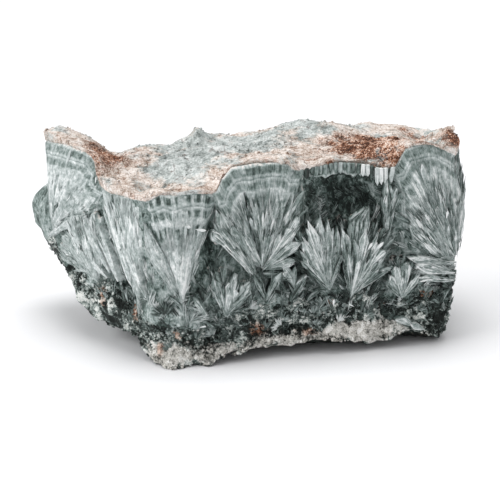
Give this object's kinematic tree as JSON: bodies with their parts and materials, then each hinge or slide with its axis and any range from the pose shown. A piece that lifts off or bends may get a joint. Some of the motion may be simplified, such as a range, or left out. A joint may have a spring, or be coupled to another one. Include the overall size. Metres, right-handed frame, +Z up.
{
  "type": "seraphinite specimen",
  "caption": "Broken block of seraphinite: feathery fans of silvery green fibres over dark granular stone, capped by a cream and rust crust.",
  "frame": {"origin": "Middle of the stone's box in plan, at the level of the flat it rests on.", "axes": "+Z is up as the stone rests, +X runs along its longest side, and -Y is the broken face with the largest fans."},
  "size_m": [0.1144, 0.0696, 0.0542],
  "materials": {
    "seraphinite": "silky fibres with a soft pearly sheen, matt granular stone below and a dull weathered crust on top"
  },
  "bodies": {
    "root": {"seraphinite": "seraphinite"}
  },
  "joints": []
}
